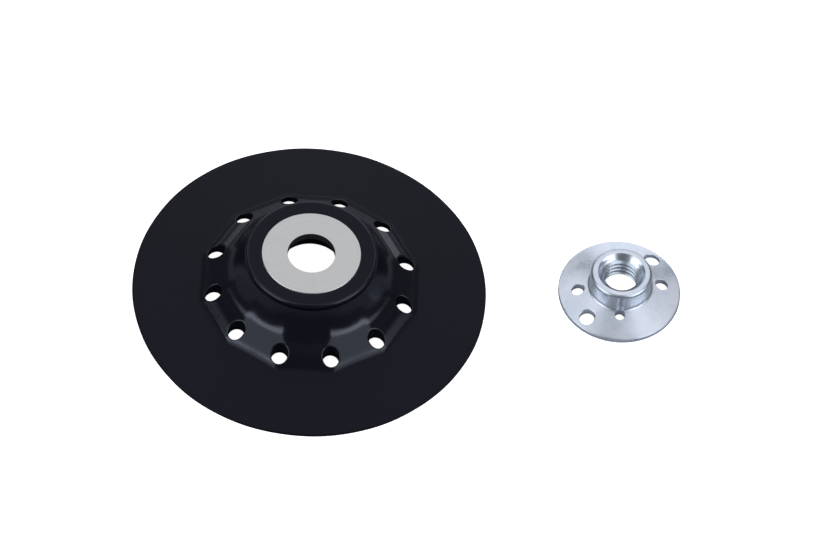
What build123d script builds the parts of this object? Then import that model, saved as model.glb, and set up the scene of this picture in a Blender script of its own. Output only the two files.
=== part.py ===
"""Backing pad for fibre sanding discs, with the flanged lock nut that clamps the disc to it.

The pad lies on its disc face. Its origin is the centre of that face, on the spindle axis, and +Z points
at the tool. The lock nut lies loose beside the pad, boss upwards, on the same surface.
"""

import math
import os

from build123d import *

# Pad: web and rim
pad_radius = 62.5
rim_thickness = 1.2
rim_rounding = 0.35
face_land_width = 8.5

# Pad: twelve-sided flank, steeper above a crease, and its cooling holes
facet_count = 12
foot_height = 4.8
flank_width = 12.8
crease_width = 3.6
crease_drop = 5.2
facet_overrun = 2.0
ridge_rounding = 14.0
hole_inset = 3.0
hole_radius = 2.9

# Pad: hub
hub_height = 22.5
hub_wall = 4.3
neck_flare = 1.6
neck_height = 3.8
lip_height = 2.2
lip_rounding = 0.8
lip_step = 0.25

# Pad: dished underside and the socket for the nut's boss
knee_offset = 0.2
knee_height = 3.4
bend_width = 7.0
bend_rise = 1.6
socket_depth = 6.8
socket_clearance = 0.35

# Thrust plate
plate_radius = 17.5
plate_thickness = 3.0
plate_proud = 0.05
plate_edge = 0.2
spindle_bore_radius = 8.4
keeper_width = 1.6
keeper_thickness = 1.2
key_count = 6
key_radius = 1.5

# Lock nut: flange
flange_radius = 21.65
flange_edge_thickness = 1.6
flange_edge_rounding = 0.3
flange_top_slope = 0.32
flange_land_width = 1.0
dish_floor_radius = 9.0
dish_floor_height = 2.4

# Lock nut: boss and thread
boss_radius = 10.9
boss_foot_rounding = 1.1
boss_shoulder = 1.4
nut_height = 12.5
mouth_radius = 8.3
mouth_depth = 1.4
thread_major_radius = 7.1
thread_minor_radius = 5.92
exit_chamfer = 0.9

# Lock nut: spanner holes, relief holes and side flutes, each in opposed pairs
opposed_count = 2
wide_pin_radius = 2.7
wide_pin_edge = 1.45
wide_pin_angle = 50.0
close_pin_radius = 2.2
close_pin_wall = 1.9
close_pin_angle = 8.5
relief_radius = 1.85
relief_bite = 0.1
relief_angle = 91.0
flute_depth = 0.9
flute_radius = 1.7
flute_foot_gap = 0.2
flute_top_gap = 0.85
pin_hole_edge = 0.3

# Where the loose nut lies
nut_gap = 25.7
nut_bearing = 3.8

# How closely an edge or a wall matches the size that it is looked up by
match = 0.001

os.makedirs("parts", exist_ok=True)


def turned(points):
    """Solid turned about +Z from the corners of its half profile."""
    with BuildPart() as turning:
        with BuildSketch(Plane.XZ):
            with BuildLine():
                Polyline(*points, close=True)
            make_face()
        revolve(axis=Axis.Z)
    return turning.part


def round_edges(part, radius, height):
    """Circular edges of a turned part at one radius and height."""
    rings = part.edges().filter_by(GeomType.CIRCLE)
    return rings.filter_by(lambda ring: math.isclose(ring.radius, radius, abs_tol=match)).filter_by(
        lambda ring: math.isclose(ring.arc_center.Z, height, abs_tol=match)
    )


# Heights and radii that follow from the sizes above
plate_underside = hub_height - plate_thickness
plate_top = hub_height + plate_proud
keeper_radius = plate_radius + keeper_width
hub_neck_radius = keeper_radius + hub_wall
hub_neck_height = hub_height - lip_height
facet_top_radius = hub_neck_radius + neck_flare
facet_top_height = hub_neck_height - neck_height
foot_radius = facet_top_radius + flank_width
hole_circle_radius = foot_radius - hole_inset
crease_radius = facet_top_radius + crease_width
crease_height = facet_top_height - crease_drop
knee_radius = foot_radius + knee_offset
bend_radius = knee_radius - bend_width
bend_height = knee_height + bend_rise
socket_radius = boss_radius + socket_clearance
socket_mouth = plate_underside - socket_depth
face_land_radius = pad_radius - face_land_width
facet_pitch = 360 / facet_count
lower_slope = (crease_height - foot_height) / (foot_radius - crease_radius)
upper_slope = crease_drop / crease_width
neck_taper = neck_flare / neck_height
neck_foot_radius = hub_neck_radius + (hub_neck_height - foot_height) * neck_taper

# Thrust plate: bored steel disc, with a wider notched keeper ring below that the plastic is moulded round
with BuildPart() as thrust_plate:
    with BuildSketch(Plane.XY.offset(plate_underside)):
        Circle(keeper_radius)
        with PolarLocations(keeper_radius, key_count):
            Circle(key_radius, mode=Mode.SUBTRACT)
    extrude(amount=keeper_thickness)
    with BuildSketch(Plane.XY.offset(plate_underside)):
        Circle(plate_radius)
    extrude(amount=plate_top - plate_underside)
    plate_blank = thrust_plate.part
    chamfer(round_edges(thrust_plate, plate_radius, plate_top), plate_edge)
    with BuildSketch(Plane.XY.offset(plate_underside)):
        Circle(spindle_bore_radius)
    extrude(amount=plate_top - plate_underside, mode=Mode.SUBTRACT)
thrust_plate.part.label = "thrust_plate"


def facets(crease_slope, top):
    """Twelve-sided frustum with rounded ridges, whose faces pass through the crease at one slope."""
    with BuildPart() as frustum:
        for height in (0, top):
            with BuildSketch(Plane.XY.offset(height)):
                apothem = crease_radius - (height - crease_height) / crease_slope
                RegularPolygon(apothem, facet_count, major_radius=False, rotation=facet_pitch / 2)
        loft(ruled=True)
        ridges = frustum.edges().filter_by(lambda edge: edge.bounding_box().size.Z > match)
        fillet(ridges, ridge_rounding)
    return frustum.part


# Pad body: web, flank and hub in one plastic moulding, dished underneath, round the thrust plate
with BuildPart() as pad_body:
    add(
        turned(
            [
                (0, 0),
                (pad_radius, 0),
                (pad_radius, rim_thickness),
                (foot_radius, foot_height),
                (neck_foot_radius, foot_height),
                (hub_neck_radius, hub_neck_height),
                (hub_neck_radius - lip_step, hub_neck_height),
                (hub_neck_radius - lip_step, hub_height),
                (0, hub_height),
            ]
        )
    )
    fillet(round_edges(pad_body, hub_neck_radius - lip_step, hub_height), lip_rounding)
    fillet(round_edges(pad_body, pad_radius, rim_thickness), rim_rounding)
    add(facets(lower_slope, facet_top_height))
    add(facets(upper_slope, facet_top_height + facet_overrun))
    add(
        turned(
            [
                (0, 0),
                (face_land_radius, 0),
                (knee_radius, knee_height),
                (bend_radius, bend_height),
                (socket_radius, socket_mouth),
                (socket_radius, plate_underside),
                (0, plate_underside),
            ]
        ),
        mode=Mode.SUBTRACT,
    )
    add(plate_blank, mode=Mode.SUBTRACT)
    with BuildSketch(Plane.XY):
        with PolarLocations(hole_circle_radius, facet_count, start_angle=facet_pitch / 2):
            Circle(hole_radius)
    extrude(amount=hub_height, mode=Mode.SUBTRACT)
pad_body.part.label = "pad_body"

# Lock nut: dished flange, boss and bored thread core, turned about its own axis and then moved into place
thread_start = nut_height - mouth_depth - (thread_major_radius - thread_minor_radius)
boss_foot_height = flange_edge_thickness + (flange_radius - boss_radius) * flange_top_slope
flute_circle_radius = boss_radius - flute_depth + flute_radius
flute_rise = (flange_radius - flute_circle_radius) * flange_top_slope
flute_foot = flange_edge_thickness + flute_rise + flute_foot_gap
flute_top = nut_height - boss_shoulder - flute_top_gap
pin_hole_top = boss_foot_height + boss_foot_rounding
wide_pin_circle_radius = flange_radius - wide_pin_edge - wide_pin_radius
close_pin_circle_radius = boss_radius + close_pin_wall + close_pin_radius
relief_circle_radius = boss_radius - relief_bite + relief_radius
nut_distance = pad_radius + nut_gap + flange_radius

with BuildPart() as lock_nut:
    add(
        turned(
            [
                (flange_radius - flange_land_width, 0),
                (flange_radius, 0),
                (flange_radius, flange_edge_thickness),
                (boss_radius, boss_foot_height),
                (boss_radius, nut_height),
                (mouth_radius, nut_height),
                (thread_major_radius, nut_height - mouth_depth),
                (thread_minor_radius, thread_start),
                (thread_minor_radius, dish_floor_height + exit_chamfer),
                (thread_minor_radius + exit_chamfer, dish_floor_height),
                (dish_floor_radius, dish_floor_height),
            ]
        )
    )
    fillet(round_edges(lock_nut, boss_radius, nut_height), boss_shoulder)
    fillet(round_edges(lock_nut, boss_radius, boss_foot_height), boss_foot_rounding)
    fillet(round_edges(lock_nut, flange_radius, flange_edge_thickness), flange_edge_rounding)
    for circle_radius, pin_radius, angle, top in (
        (wide_pin_circle_radius, wide_pin_radius, wide_pin_angle, pin_hole_top),
        (close_pin_circle_radius, close_pin_radius, close_pin_angle, pin_hole_top),
        (relief_circle_radius, relief_radius, relief_angle, flute_foot),
    ):
        with BuildSketch(Plane.XY):
            with PolarLocations(circle_radius, opposed_count, start_angle=angle):
                Circle(pin_radius)
        extrude(amount=top, mode=Mode.SUBTRACT)
    for pin_radius in (wide_pin_radius, close_pin_radius):
        walls = lock_nut.faces().filter_by(GeomType.CYLINDER)
        pin_walls = walls.filter_by(lambda wall: math.isclose(wall.radius, pin_radius, abs_tol=match))
        chamfer(pin_walls.edges().filter_by(GeomType.LINE, reverse=True), pin_hole_edge)
    with BuildSketch(Plane.XY.offset(flute_foot)):
        with PolarLocations(flute_circle_radius, opposed_count, start_angle=relief_angle):
            Circle(flute_radius)
    extrude(amount=flute_top - flute_foot, mode=Mode.SUBTRACT)
    with PolarLocations(flute_circle_radius, opposed_count, start_angle=relief_angle):
        with Locations((0, 0, flute_top)):
            Sphere(flute_radius, mode=Mode.SUBTRACT)
nut_x = nut_distance * math.cos(math.radians(nut_bearing))
nut_y = nut_distance * math.sin(math.radians(nut_bearing))
placed_nut = Pos(nut_x, nut_y, 0) * lock_nut.part
placed_nut.label = "lock_nut"

export_step(thrust_plate.part, "parts/thrust_plate.step")
export_step(pad_body.part, "parts/pad_body.step")
export_step(placed_nut, "parts/lock_nut.step")
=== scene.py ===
"""Backing pad for fibre sanding discs with its loose lock nut, on a white table."""

import math

import bmesh
import bpy
import numpy as np
from mathutils import Matrix, Vector


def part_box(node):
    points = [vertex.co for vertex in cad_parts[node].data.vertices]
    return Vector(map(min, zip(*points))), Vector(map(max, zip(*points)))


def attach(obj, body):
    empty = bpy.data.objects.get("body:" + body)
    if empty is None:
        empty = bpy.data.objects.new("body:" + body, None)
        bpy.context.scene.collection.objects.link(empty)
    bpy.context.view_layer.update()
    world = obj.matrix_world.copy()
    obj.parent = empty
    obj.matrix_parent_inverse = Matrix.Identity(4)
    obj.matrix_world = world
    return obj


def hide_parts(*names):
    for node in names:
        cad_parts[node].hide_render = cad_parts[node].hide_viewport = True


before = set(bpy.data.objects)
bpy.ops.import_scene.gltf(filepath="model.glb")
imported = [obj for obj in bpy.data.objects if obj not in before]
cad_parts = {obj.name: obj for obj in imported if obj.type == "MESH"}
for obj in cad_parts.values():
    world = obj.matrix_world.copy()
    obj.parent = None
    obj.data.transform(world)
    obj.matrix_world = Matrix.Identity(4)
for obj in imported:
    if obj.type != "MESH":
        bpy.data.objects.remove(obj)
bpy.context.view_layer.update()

# Pad body: one black nylon moulding. A thin springy web carries a twelve-sided flank, steeper above a soft
# crease, with a cooling hole through each ridge and a round hub on top. It is injected round the steel plate
# and is dished underneath. Its sizes are in millimetres.
MM = 0.001
pad_low, pad_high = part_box("pad_body")
pad_radius = (pad_high.x - pad_low.x) / 2 / MM
hub_height = pad_high.z / MM
rim_thickness = 1.2
rim_rounding = 0.35
rim_foot_rounding = 0.15
rim_rounding_start = 82
foot_radius = 37.8
foot_height = 4.8
foot_edge_slope = 1.15
foot_edge_width = 1.8
foot_fill = 1.1
web_slope = (foot_height - rim_thickness) / (pad_radius - foot_radius)
facet_count = 12
facet_top_radius = 25.0
facet_top_height = 16.5
crease_radius = 28.4
crease_height = 11.2
crease_fill = 2.4
lower_slope = 0.51
upper_slope = (facet_top_height - crease_height) / (crease_radius - facet_top_radius)
ridge_rounding = 6.0
round_start = 31.0
round_end = 23.6
round_share = 0.985
neck_radius = 23.4
neck_height = 20.3
neck_slope = (neck_height - facet_top_height) / (facet_top_radius - neck_radius)
neck_fill = 1.4
lip_radius = neck_radius - 0.25
lip_rounding = 1.1
hole_circle = 34.7
hole_radius = 2.9
hole_top_rounding = 0.5
hole_top_spread = 1.3
hole_foot_rounding = 0.2
hole_foot_spread = 1.4
pocket_radius = 17.53
pocket_rounding = 0.12
keeper_radius = 19.12
keeper_top = 20.72
plate_foot = 19.48
socket_radius = 11.25
socket_mouth = 12.7
socket_rounding = 0.3
knee_radius = 38.0
knee_height = 3.0
bend_radius = 31.0
bend_height = 4.5
land_radius = 54.0
weld_gap = 0.002

# The holes are meshed in a band round the flank, which has one patch for each hole
band_outer = 39.6
band_inner = 30.4
band_steps = 20
sector = 2 * math.pi / facet_count
sector_steps = 48


def filled_corner(a, b, width):
    """The higher of two surfaces, with the inside corner between them filled to a rounding."""
    near = np.clip(width - np.abs(a - b), 0, None)
    return np.maximum(a, b) + near**2 / (4 * width)


def pad_top(x, y):
    """Height of the web, flank and neck. The facets turn round towards the neck."""
    radius = np.hypot(x, y)
    off_ridge = np.arctan2(y, x) % sector - sector / 2
    along = radius * np.cos(off_ridge)
    aside = np.abs(radius * np.sin(off_ridge))
    flat = along * math.cos(sector / 2) + aside * math.sin(sector / 2)
    reach = np.sqrt(ridge_rounding**2 - np.minimum(aside, ridge_rounding) ** 2)
    ridge = ridge_rounding + (along - reach) * math.cos(sector / 2)
    facet = np.where(aside < ridge_rounding * math.sin(sector / 2), ridge, flat)
    turned = np.clip((round_start - radius) / (round_start - round_end), 0, 1)
    turned = turned**2 * (3 - 2 * turned)
    facet = facet + (radius * round_share - facet) * turned
    web = rim_thickness + (pad_radius - radius) * web_slope
    lower = crease_height + (crease_radius - facet) * lower_slope
    foot_edge = foot_height + (foot_radius - facet) * foot_edge_slope
    lower = -filled_corner(-lower, -foot_edge, foot_edge_width)
    upper = crease_height + (crease_radius - facet) * upper_slope
    neck = facet_top_height + (facet_top_radius - radius) * neck_slope
    flank = filled_corner(filled_corner(web, lower, foot_fill), upper, crease_fill)
    return filled_corner(flank, neck, neck_fill)


def pad_underside(x, y):
    """Height of the dished underside, from the disc's land to the socket."""
    radii = (socket_radius, bend_radius, knee_radius, land_radius)
    return np.interp(np.hypot(x, y), radii, (socket_mouth, bend_height, knee_height, 0))


def loop(radius, height, angles):
    """A loop of points round +Z. Radius and height are single numbers, or one for each angle."""
    return np.stack([radius * np.cos(angles), radius * np.sin(angles), height + 0 * angles], axis=1)


def row(spots, height):
    """A row of points from their X and Y, at one height or one for each."""
    return np.column_stack([spots, np.broadcast_to(height, len(spots))])


def corner(centre, radius, start, end, steps=5):
    """Profile points along a rounded corner, from one angle to another in degrees."""
    turns = np.radians(np.linspace(start, end, steps + 1))
    return [(centre[0] + radius * math.cos(t), centre[1] + radius * math.sin(t)) for t in turns]


def joined(name, patches, finish, sharp):
    """One closed mesh from patches of loops. Each loop joins the next, and patches join where they meet."""
    points, faces = [], []
    for rows in patches:
        rows = np.array(rows)
        count, length = rows.shape[:2]
        here = len(points) + np.arange(count * length).reshape(count, length)
        after = np.roll(here, -1, axis=1)
        faces += np.stack([here[:-1], after[:-1], after[1:], here[1:]], axis=-1).reshape(-1, 4).tolist()
        points += rows.reshape(-1, 3).tolist()
    mesh = bpy.data.meshes.new(name)
    mesh.from_pydata((np.array(points) * MM).tolist(), [], faces)
    shape = bmesh.new()
    shape.from_mesh(mesh)
    bmesh.ops.remove_doubles(shape, verts=shape.verts, dist=weld_gap * MM)
    bmesh.ops.recalc_face_normals(shape, faces=shape.faces)
    shape.to_mesh(mesh)
    shape.free()
    mesh.shade_smooth()
    mesh.set_sharp_from_angle(angle=math.radians(sharp))
    mesh.materials.append(finish)
    piece = bpy.data.objects.new(name, mesh)
    bpy.context.scene.collection.objects.link(piece)
    return piece


class Tone:
    """A value that changes over a surface. Sums and products of tones add Math nodes to their material."""

    def __init__(self, tree, socket=None):
        self.tree = tree
        self.socket = socket

    def node(self, kind, settings=None, sockets=None, output=0):
        """Adds a node of any kind: its settings first, then a value or a tone for each socket."""
        made = self.tree.nodes.new(kind)
        for name, value in (settings or {}).items():
            setattr(made, name, value)
        for name, value in (sockets or {}).items():
            if isinstance(value, Tone):
                self.tree.links.new(value.socket, made.inputs[name])
            else:
                made.inputs[name].default_value = value
        return Tone(self.tree, made.outputs[output])

    def show(self):
        """Makes this shader the one that the material shows."""
        shown = self.tree.nodes.new("ShaderNodeOutputMaterial")
        self.tree.links.new(self.socket, shown.inputs["Surface"])

    def maths(self, operation, first, second):
        """Adds a Math node for two numbers or tones."""
        return self.node("ShaderNodeMath", {"operation": operation}, {0: first, 1: second})

    def __add__(self, value):
        return self.maths("ADD", self, value)

    def __radd__(self, value):
        return self.maths("ADD", value, self)

    def __sub__(self, value):
        return self.maths("SUBTRACT", self, value)

    def __rsub__(self, value):
        return self.maths("SUBTRACT", value, self)

    def __mul__(self, value):
        return self.maths("MULTIPLY", self, value)

    def __rmul__(self, value):
        return self.maths("MULTIPLY", value, self)

    def between(self, low, high):
        """0 below low and 1 above high, with a soft change between them."""
        return self.node(
            "ShaderNodeMapRange",
            {"interpolation_type": "SMOOTHSTEP"},
            {"Value": self, "From Min": low, "From Max": high},
        )

    def tinted(self, first, second):
        """A colour that goes from the first to the second as this value goes from 0 to 1."""
        return self.node("ShaderNodeMix", {"data_type": "RGBA"}, {0: self, 6: first, 7: second}, 2)

    def flattened(self):
        """A place with its height taken out."""
        return self.node("ShaderNodeVectorMath", {"operation": "MULTIPLY"}, {0: self, 1: (1, 1, 0)})

    def length(self):
        """How far a place is from the origin."""
        return self.node("ShaderNodeVectorMath", {"operation": "LENGTH"}, {0: self}, "Value")

    def noise(self, scale, detail=2.0, roughness=0.5):
        """Cloudy variation over a place."""
        sockets = {"Vector": self, "Scale": scale, "Detail": detail, "Roughness": roughness}
        return self.node("ShaderNodeTexNoise", None, sockets)

    def relief(self, strength, depth):
        """The dents that this value presses into the surface, to a depth in millimetres."""
        sockets = {"Strength": strength, "Distance": depth * MM, "Height": self}
        return self.node("ShaderNodeBump", None, sockets)


def new_finish(name):
    """An empty material, and the tone that its nodes are added through."""
    made = bpy.data.materials.new(name)
    made.use_nodes = True
    made.node_tree.nodes.clear()
    return made, Tone(made.node_tree)


# The mould's flank, neck and lip are polished, and its web and hub top leave a satin skin
gloss_start_radius = 21.9
gloss_full_radius = 22.5
gloss_start_rise = 0.1
gloss_full_rise = 0.6
black_plastic, mix = new_finish("moulded_black_plastic")
place = mix.node("ShaderNodeTexCoord", output="Object")
height = mix.node("ShaderNodeSeparateXYZ", sockets={0: place}, output="Z")
from_axis = place.flattened().length()
above_web = height - ((pad_radius * web_slope + rim_thickness) * MM - from_axis * web_slope)
off_web = above_web.between(gloss_start_rise * MM, gloss_full_rise * MM)
polished = off_web * from_axis.between(gloss_start_radius * MM, gloss_full_radius * MM)
cloud = place.noise(90.0, 3.0)
grain = place.noise(5200.0)
rub = place.noise(700.0, 4.0)
tint = cloud.tinted((0.0024, 0.0024, 0.0058, 1), (0.0044, 0.0044, 0.0086, 1))
satin = mix.node(
    "ShaderNodeBsdfPrincipled",
    sockets={
        "Base Color": tint,
        "Roughness": 0.44 + cloud * 0.08 + rub * 0.06,
        "Specular IOR Level": 0.2,
        "Specular Tint": (0.82, 0.84, 1.0, 1),
        "Normal": grain.relief(0.35, 0.02),
    },
)
gloss = mix.node(
    "ShaderNodeBsdfPrincipled",
    sockets={
        "Base Color": tint,
        "Roughness": 0.13 + cloud * 0.08,
        "Specular IOR Level": 0.5,
        "Specular Tint": (0.82, 0.88, 1.0, 1),
        "Normal": rub.relief(0.25, 0.05),
    },
)
mix.node("ShaderNodeMixShader", sockets={0: polished, 1: satin, 2: gloss}).show()

around = np.arange(facet_count * sector_steps) * sector / sector_steps
cos_around, sin_around = np.cos(around), np.sin(around)


def top_loop(radius):
    """A loop on the upper side of the pad."""
    return loop(radius, pad_top(radius * cos_around, radius * sin_around), around)


def under_loop(radius):
    """A loop on the underside of the pad."""
    return loop(radius, pad_underside(radius * cos_around, radius * sin_around), around)


# Web and rim, from the band of holes out over the rim and back underneath. The rim isn't quite round
rim_wave = 0.07 * np.sin(3 * around + 1) + 0.05 * np.sin(7 * around + 4) + 0.03 * np.sin(16 * around)
rim_edge = (pad_radius - rim_rounding, rim_thickness - rim_rounding)
rim_profile = corner(rim_edge, rim_rounding, rim_rounding_start, 0)
rim_foot = (pad_radius - rim_foot_rounding, rim_foot_rounding)
rim_profile += corner(rim_foot, rim_foot_rounding, 0, -90, 3)
web_and_rim = [top_loop(radius) for radius in np.linspace(band_outer, pad_radius - 0.5, 24)]
web_and_rim += [loop(radius + rim_wave, level, around) for radius, level in rim_profile]
land_edge = (land_radius + 0.2, land_radius, land_radius - 0.2)
web_and_rim += [under_loop(radius) for radius in (58, *land_edge, 50, 46, 42, band_outer)]

# Hub, from the band of holes up over the lip, down the pocket and the socket, and out under the dish
hub = [top_loop(radius) for radius in np.linspace(band_inner, neck_radius, 34)]
lip_centre = (lip_radius - lip_rounding, hub_height - lip_rounding)
hub_profile = [(neck_radius - 0.05, neck_height + 0.05), (lip_radius, neck_height + 0.06)]
hub_profile += [(lip_radius, lip_centre[1] - 0.3)] + corner(lip_centre, lip_rounding, 0, 90, 8)
hub_profile += [(21.0, hub_height), (19.0, hub_height)]
pocket_corner = (pocket_radius + pocket_rounding, hub_height - pocket_rounding)
hub_profile += corner(pocket_corner, pocket_rounding, 90, 180, 3)
hub_profile += [(pocket_radius, keeper_top), (keeper_radius, keeper_top), (keeper_radius, plate_foot)]
hub_profile += [(socket_radius, level) for level in (plate_foot, 18, 16, 14)]
hub_profile += corner((socket_radius + socket_rounding, socket_mouth + 0.2), socket_rounding, 180, 250, 4)
hub += [loop(radius, level, around) for radius, level in hub_profile]
hub += [under_loop(radius) for radius in (12, 14, 17, 20, 24, 27, band_inner)]

# One patch round each hole, from the underside up through the hole and out over the flank
side_steps = np.linspace(-sector / 2, sector / 2, sector_steps + 1)[:-1]
down = np.linspace(band_outer, band_inner, band_steps + 1)[:-1]
back_out = band_outer + band_inner - down
edge_radius = np.concatenate(
    [np.full(sector_steps, band_outer), down, np.full(sector_steps, band_inner), back_out]
)
edge_angle = np.concatenate(
    [side_steps, np.full(band_steps, sector / 2), -side_steps, np.full(band_steps, -sector / 2)]
)
holes = []
for index in range(facet_count):
    bearing = (index + 0.5) * sector
    centre = hole_circle * np.array([math.cos(bearing), math.sin(bearing)])
    edge = loop(edge_radius, 0, bearing + edge_angle)[:, :2]
    out = (edge - centre) / np.linalg.norm(edge - centre, axis=1, keepdims=True)
    foot_rim = centre + out * (hole_radius + hole_foot_rounding)
    top_rim = centre + out * (hole_radius + hole_top_rounding)
    rows = []
    for share in (1 - np.linspace(0, 1, 13))[:-1]:
        spots = foot_rim + (edge - foot_rim) * share**hole_foot_spread
        rows.append(row(spots, pad_underside(*spots.T)))
    for turn in np.radians(np.linspace(0, 90, 4)):
        spots = centre + out * (hole_radius + hole_foot_rounding * (1 - math.sin(turn)))
        rows.append(row(spots, pad_underside(*spots.T) + hole_foot_rounding * (1 - math.cos(turn))))
    wall = centre + out * hole_radius
    wall_foot = pad_underside(*wall.T) + hole_foot_rounding
    wall_top = pad_top(*wall.T) - hole_top_rounding
    rows += [row(wall, wall_foot + (wall_top - wall_foot) * share) for share in (0.25, 0.5, 0.75)]
    for turn in np.radians(np.linspace(90, 0, 7)):
        spots = centre + out * (hole_radius + hole_top_rounding * (1 - math.sin(turn)))
        rows.append(row(spots, pad_top(*spots.T) - hole_top_rounding * (1 - math.cos(turn))))
    for share in np.linspace(0, 1, 15)[1:]:
        spots = top_rim + (edge - top_rim) * share**hole_top_spread
        rows.append(row(spots, pad_top(*spots.T)))
    holes.append(rows)

pad = joined("pad_moulding", [web_and_rim, hub] + holes, black_plastic, 50)
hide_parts("pad_body")
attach(pad, "pad")

# Thrust plate: a bored steel disc, faced on a lathe, flush in the top of the hub, where the tool's flange
# seats. The moulding grips its hidden keeper ring, so it needs no screws. The wall of its bore is painted
# darker as painted shade, and the faced top carries wedges of painted sheen.
bore_wall_radius = 8.41
bore_edge_radius = 8.44
turned_steel, mix = new_finish("turned_steel")
place = mix.node("ShaderNodeTexCoord", output="Object")
flat_place = place.flattened()
from_axis = flat_place.length()
sweep = mix.node("ShaderNodeVectorMath", {"operation": "NORMALIZE"}, {0: flat_place})
# Painted sheen: noise round the axis lightens and darkens wedges of the faced top in place of the turned
# face's reflection, and also varies its roughness
painted_sheen_wedges = sweep.noise(2.6, 3.0, 0.6)
one_way = {"noise_dimensions": "1D"}
cuts = mix.node("ShaderNodeTexNoise", one_way, {"W": from_axis, "Scale": 5200.0, "Detail": 2.0})
rings = mix.node("ShaderNodeTexNoise", one_way, {"W": from_axis, "Scale": 900.0, "Detail": 1.0})
# Colour of the faced top: real turning rings mixed with the wedges of painted sheen
rings_and_painted_sheen_tint = (painted_sheen_wedges * 0.75 + rings * 0.25).tinted((0.55, 0.545, 0.53, 1), (0.68, 0.675, 0.66, 1))
# Painted shade: the bore wall is painted dark grey, as if it lay in shadow
bore_painted_shade = 1 - from_axis.between(bore_wall_radius * MM, bore_edge_radius * MM)
steel = mix.node(
    "ShaderNodeBsdfPrincipled",
    sockets={
        "Base Color": bore_painted_shade.tinted(rings_and_painted_sheen_tint, (0.26, 0.26, 0.30, 1)),
        "Metallic": 1.0,
        "Roughness": 0.36 + painted_sheen_wedges * 0.1,
        "Normal": cuts.relief(0.3, 0.01),
    },
)
steel.show()
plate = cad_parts["thrust_plate"]
plate.data.materials.clear()
plate.data.materials.append(turned_steel)

# Lock nut: one steel forging, turned, drilled, threaded M14 and zinc plated. Its boss centres the disc, and
# its dished flange presses the disc into the pad. It lies loose beside the pad with the boss upwards.
nut_low, nut_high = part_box("lock_nut")
flange_radius = (nut_high.x - nut_low.x) / 2 / MM
nut_height = nut_high.z / MM
flange_edge = 1.6
flange_edge_rounding = 0.3
flange_edge_drop = 0.22
flange_foot_rounding = 0.15
flange_slope = 0.32
dish_radius = 9.0
dish_height = 2.4
dish_rim = flange_radius - 1.0
boss_radius = 10.9
boss_foot_rounding = 1.1
shoulder = 1.4
mouth_radius = 8.3
mouth_edge_rounding = 0.15
mouth_floor = nut_height - 1.4
face_radius = 9.0
lead_radius = 7.1
core_radius = 5.92
exit_chamfer = 0.9
thread_root = 7.0
thread_pitch = 2.0
thread_root_flat = thread_pitch / 8
thread_start = 3.8
thread_step = 0.08
nut_steps = 384
nut_sharp = 32


def flange_top(x, y):
    """Height of the flange's sloped upper side."""
    return flange_edge + (flange_radius - np.hypot(x, y)) * flange_slope


def flange_underside(x, y):
    """Height of the flange's dished underside."""
    slope = dish_height / (dish_rim - dish_radius)
    return np.clip((dish_rim - np.hypot(x, y)) * slope, 0, dish_height)


# Painted light: the plating is made more metallic where it faces up, so it looks brightest there, and greyer
# and less mirror-like down the walls
zinc, mix = new_finish("bright_zinc_plate")
place = mix.node("ShaderNodeTexCoord", output="Object")
bloom = place.noise(160.0, 4.0, 0.55)
mottle = place.noise(900.0, 3.0)
fine = place.noise(4200.0)
facing = mix.node("ShaderNodeTexCoord", output="Normal")
up_facing_painted_light = mix.node("ShaderNodeSeparateXYZ", sockets={0: facing}, output="Z").between(0.1, 0.6)
zinc_skin = mix.node(
    "ShaderNodeBsdfPrincipled",
    sockets={
        "Base Color": bloom.between(0.35, 0.65).tinted((0.66, 0.73, 0.81, 1), (0.78, 0.82, 0.90, 1)),
        # Painted light: more metallic on faces that point up, less on the walls
        "Metallic": 0.45 + up_facing_painted_light * 0.5,
        "Roughness": 0.2 + bloom * 0.12 + mottle * 0.05,
        "Normal": (mottle * 0.7 + fine * 0.3).relief(0.12, 0.02),
    },
)
zinc_skin.show()

# Turned shape, from the rim up over the flange and boss, down the thread and back under the dish
nut_around = np.arange(nut_steps) * 2 * math.pi / nut_steps
foot_angle = math.degrees(math.atan(flange_slope))
boss_foot = flange_edge + (flange_radius - boss_radius) * flange_slope
boss_foot_drop = boss_foot_rounding * flange_slope
boss_foot_rise = boss_foot_rounding / math.cos(math.radians(foot_angle))
foot_centre = (boss_radius + boss_foot_rounding, boss_foot - boss_foot_drop + boss_foot_rise)
nut_profile = [(dish_rim, 0), (flange_radius - 0.5, 0)]
flange_foot = (flange_radius - flange_foot_rounding, flange_foot_rounding)
nut_profile += corner(flange_foot, flange_foot_rounding, -90, 0, 3)
flange_corner = (flange_radius - flange_edge_rounding, flange_edge - flange_edge_drop)
nut_profile += corner(flange_corner, flange_edge_rounding, 0, 90 - foot_angle, 5)
flange_radii = np.linspace(flange_radius - 0.8, boss_radius + 1.4, 20)
nut_profile += [(radius, float(flange_top(radius, 0))) for radius in flange_radii]
nut_profile += corner(foot_centre, boss_foot_rounding, 270 - foot_angle, 180, 8)
boss_levels = np.linspace(foot_centre[1] + 0.3, nut_height - shoulder - 0.1, 14)
nut_profile += [(boss_radius, level) for level in boss_levels]
nut_profile += corner((boss_radius - shoulder, nut_height - shoulder), shoulder, 0, 90, 10)
nut_profile += [(face_radius, nut_height)]
mouth_corner = (mouth_radius + mouth_edge_rounding, nut_height - mouth_edge_rounding)
nut_profile += corner(mouth_corner, mouth_edge_rounding, 90, 140, 3)
nut_profile += [(mouth_radius - step * 0.3, nut_height - step * 0.35) for step in (1, 2, 3)]
nut_profile += [(lead_radius, mouth_floor)]
nut_rows = [loop(radius, level, nut_around) for radius, level in nut_profile]

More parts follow.
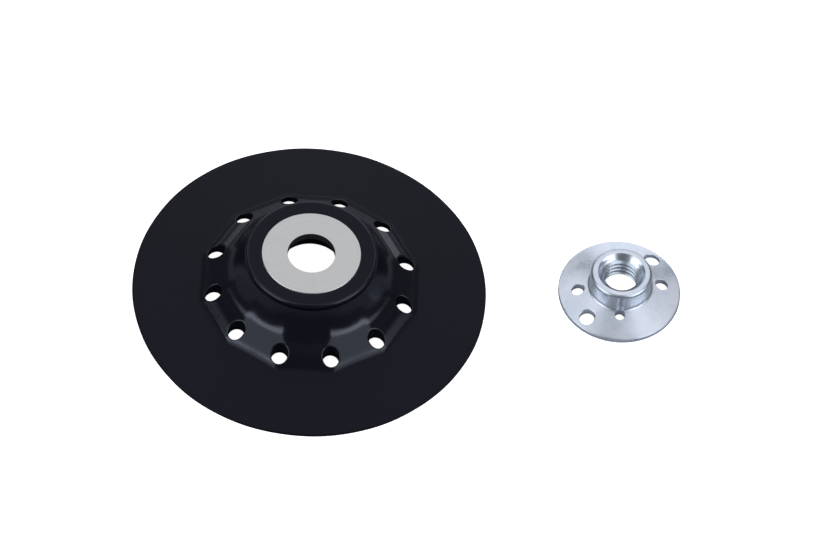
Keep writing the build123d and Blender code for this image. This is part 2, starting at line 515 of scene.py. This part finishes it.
# The groove winds down the bore, from the lead-in at the mouth to the chamfer at the dish
for level in np.arange(mouth_floor - thread_step, dish_height, -thread_step):
    lead_in = lead_radius - (mouth_floor - level)
    way_out = core_radius + exit_chamfer - (level - dish_height)
    plain = max(core_radius, lead_in, way_out)
    phase = ((level - thread_start) / thread_pitch - nut_around / (2 * math.pi)) % 1
    off_root = np.abs(phase - np.round(phase)) * thread_pitch
    groove = thread_root - np.clip(off_root - thread_root_flat / 2, 0, None) * math.sqrt(3)
    nut_rows.append(loop(np.maximum(plain, groove), level, nut_around))
for radius in (core_radius + exit_chamfer + 0.2, 8, dish_radius):
    nut_rows.append(loop(radius, dish_height, nut_around))
for radius in np.linspace(dish_radius, dish_rim, 16)[1:]:
    nut_rows.append(loop(radius, flange_underside(radius, 0), nut_around))
nut = joined("lock_nut_zinc", [nut_rows], zinc, nut_sharp)

# Two pairs of spanner holes, and a pair of flutes in the boss, each with a relief hole below it
opposed = (0, 180)
wide_pin_circle, wide_pin_radius, wide_pin_angle = 17.5, 2.7, 50
close_pin_circle, close_pin_radius, close_pin_angle = 15.0, 2.2, 8.5
pin_edge_rounding = 0.3
relief_circle, relief_radius, relief_top = 12.65, 1.85, 4.98
flute_circle, flute_radius, flute_foot, flute_top = 11.7, 1.7, 4.7, 10.25
flute_angle = 91
cutter_steps = 72
cutter_tip = 0.01
cutter_proud = 0.4
cutter_tip_proud = 1.6
cutter_turns = np.arange(cutter_steps) * 2 * math.pi / cutter_steps
cutter_out = np.stack([np.cos(cutter_turns), np.sin(cutter_turns)], axis=1)


def on_circle(circle, bearing):
    """The point at a bearing in degrees on a circle round the nut's axis."""
    turn = math.radians(bearing)
    return circle * np.array([math.cos(turn), math.sin(turn)])


def drill(centre, radius):
    """A cutter for one flange hole, flared at each face so that the hole's edges come out rounded."""
    rounding = pin_edge_rounding
    turns = np.radians((15, 35, 60, 90))
    flare = [(radius + rounding * (1 - math.sin(t)), rounding * (1 - math.cos(t))) for t in turns]
    rows = []
    for face, side in ((flange_underside, -1), (flange_top, 1)):
        spots = centre + cutter_out * flare[0][0]
        levels = [
            row(centre + cutter_out * cutter_tip, face(*centre) + side * cutter_tip_proud),
            row(spots, face(*spots.T) + side * cutter_proud),
        ]
        for reach, depth in flare:
            spots = centre + cutter_out * reach
            levels.append(row(spots, face(*spots.T) - side * depth))
        rows += levels if side < 0 else levels[::-1]
    return joined("cut", [rows], zinc, 180)


def turned_cutter(centre, profile):
    """A cutter turned about an upright line through its centre."""
    return joined("cut", [[row(centre + cutter_out * reach, level) for reach, level in profile]], zinc, 180)


cutters = [drill(on_circle(wide_pin_circle, wide_pin_angle + half), wide_pin_radius) for half in opposed]
cutters += [drill(on_circle(close_pin_circle, close_pin_angle + half), close_pin_radius) for half in opposed]
relief_profile = [(cutter_tip, -1), (relief_radius, -1)]
relief_profile += [(relief_radius, relief_top), (cutter_tip, relief_top)]
flute_profile = [(cutter_tip, flute_foot), (flute_radius, flute_foot)]
flute_profile += corner((0, flute_top), flute_radius, 0, 88, 13)
for half in opposed:
    cutters.append(turned_cutter(on_circle(relief_circle, flute_angle + half), relief_profile))
    cutters.append(turned_cutter(on_circle(flute_circle, flute_angle + half), flute_profile))
for cutter in cutters:
    capped = bmesh.new()
    capped.from_mesh(cutter.data)
    bmesh.ops.holes_fill(capped, edges=capped.edges)
    bmesh.ops.recalc_face_normals(capped, faces=capped.faces)
    capped.to_mesh(cutter.data)
    capped.free()
    cutting = nut.modifiers.new("cut", "BOOLEAN")
    cutting.operation = "DIFFERENCE"
    cutting.solver = "EXACT"
    cutting.object = cutter
bpy.context.view_layer.update()
finished = bpy.data.meshes.new_from_object(nut.evaluated_get(bpy.context.evaluated_depsgraph_get()))
nut.modifiers.clear()
nut.data = finished
for cutter in cutters:
    bpy.data.objects.remove(cutter)
finished.shade_smooth()
finished.set_sharp_from_angle(angle=math.radians(nut_sharp))
nut.location = ((nut_low.x + nut_high.x) / 2, (nut_low.y + nut_high.y) / 2, 0)
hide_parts("lock_nut")
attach(nut, "nut")

# Table: a grey board with an evenly lit white sheet on it, which the pad and the nut lie on. Only the camera
# sees the sheet. Light and reflections see the board, so no light comes up through the holes.
sheet_reach = 9.0
sheet_sides = ((-1, -1), (1, -1), (1, 1), (-1, 1))


def sheet(name, height, finish):
    """A large flat sheet a little below the pad."""
    mesh = bpy.data.meshes.new(name)
    corners = [(x * sheet_reach, y * sheet_reach, 0) for x, y in sheet_sides]
    mesh.from_pydata(corners, [], [(0, 1, 2, 3)])
    mesh.materials.append(finish)
    flat = bpy.data.objects.new(name, mesh)
    flat.location.z = height * MM
    bpy.context.scene.collection.objects.link(flat)
    return flat


grey_board, mix = new_finish("grey_board")
haze = mix.node("ShaderNodeTexCoord", output="Object").noise(3.0)
board_tint = haze.tinted((0.28, 0.29, 0.32, 1), (0.31, 0.31, 0.34, 1))
mix.node("ShaderNodeBsdfPrincipled", sockets={"Base Color": board_tint, "Roughness": 0.7}).show()
bench = sheet("bench", -0.1, grey_board)
bench.visible_camera = False

lit_sheet, mix = new_finish("lit_sheet")
haze = mix.node("ShaderNodeTexCoord", output="Object").noise(3.0)
lit_tint = haze.tinted((0.99, 0.99, 0.99, 1), (1, 1, 1, 1))
lit = mix.node(
    "ShaderNodeBsdfPrincipled",
    sockets={"Base Color": lit_tint, "Emission Color": lit_tint, "Emission Strength": 1.0},
)
lit.show()
backing = sheet("backing", -0.02, lit_sheet)
for ray in ("diffuse", "glossy", "transmission", "volume_scatter", "shadow"):
    setattr(backing, "visible_" + ray, False)

# Light: a tall softbox and a low strip either side of the front, with a dark gap between the sides, and a
# large softbox overhead and a low one behind. A weak even light fills the rest.
middle = Vector((0.04, 0, 0.01))
cool_white = (0.88, 0.93, 1.0)


def softbox(name, bearing, elevation, distance, width, height, watts, colour):
    """An area light at a bearing clockwise from the front as seen from above, facing the table's middle."""
    turn, rise = math.radians(bearing), math.radians(elevation)
    back = Vector((math.sin(turn) * math.cos(rise), -math.cos(turn) * math.cos(rise), math.sin(rise)))
    lamp = bpy.data.lights.new(name, "AREA")
    lamp.shape = "RECTANGLE"
    lamp.size, lamp.size_y = width, height
    lamp.energy = watts
    lamp.color = colour
    box = bpy.data.objects.new(name, lamp)
    box.location = middle + back * distance
    box.rotation_euler = back.to_track_quat("Z", "Y").to_euler()
    box.visible_camera = False
    bpy.context.scene.collection.objects.link(box)


softbox("softbox_left", -60, 46, 1.4, 0.9, 1.4, 4.2, cool_white)
softbox("softbox_right", 60, 46, 1.4, 0.9, 1.4, 4.2, cool_white)
softbox("strip_left", -64, 25, 1.3, 1.2, 0.32, 2.9, cool_white)
softbox("strip_right", 64, 25, 1.3, 1.2, 0.32, 2.9, cool_white)
softbox("softbox_top", 180, 62, 1.5, 2.4, 1.6, 9.8, (0.95, 0.96, 1.0))
softbox("softbox_back", 180, 14, 1.6, 1.8, 0.5, 3.8, (0.92, 0.94, 1.0))
studio = bpy.data.worlds.new("studio")
studio.use_nodes = True
fill_light = studio.node_tree.nodes["Background"].inputs
fill_light["Color"].default_value = (0.9, 0.93, 1.0, 1)
fill_light["Strength"].default_value = 0.12
bpy.context.scene.world = studio
bpy.context.scene.view_settings.view_transform = "Standard"

# Camera: a long lens a little over two metres away, looking down on the table from the front. It is swung,
# then tipped, then rolled, each by degrees about its own axes.
camera_distance = 2.12
camera_rise = math.radians(54.06)
camera_swing, camera_tip, camera_roll = -0.990, 0.212, -3.484
camera_data = bpy.data.cameras.new("camera")
camera_data.sensor_width = 36.0
camera_data.lens = 260.87
camera_data.clip_end = 50
camera = bpy.data.objects.new("camera", camera_data)
bpy.context.scene.collection.objects.link(camera)
stand = Vector((0, -camera_distance * math.cos(camera_rise), camera_distance * math.sin(camera_rise)))
ahead = -stand.normalized()
right = ahead.cross(Vector((0, 0, 1))).normalized()
axes = [right, right.cross(ahead), ahead]
for axis, degrees in ((1, camera_swing), (0, camera_tip), (2, camera_roll)):
    swing = Matrix.Rotation(math.radians(degrees), 3, axes[axis])
    axes = [swing @ direction for direction in axes]
right, up, ahead = axes
camera.matrix_world = Matrix.Translation(stand) @ Matrix((right, up, -ahead)).transposed().to_4x4()
bpy.context.scene.camera = camera
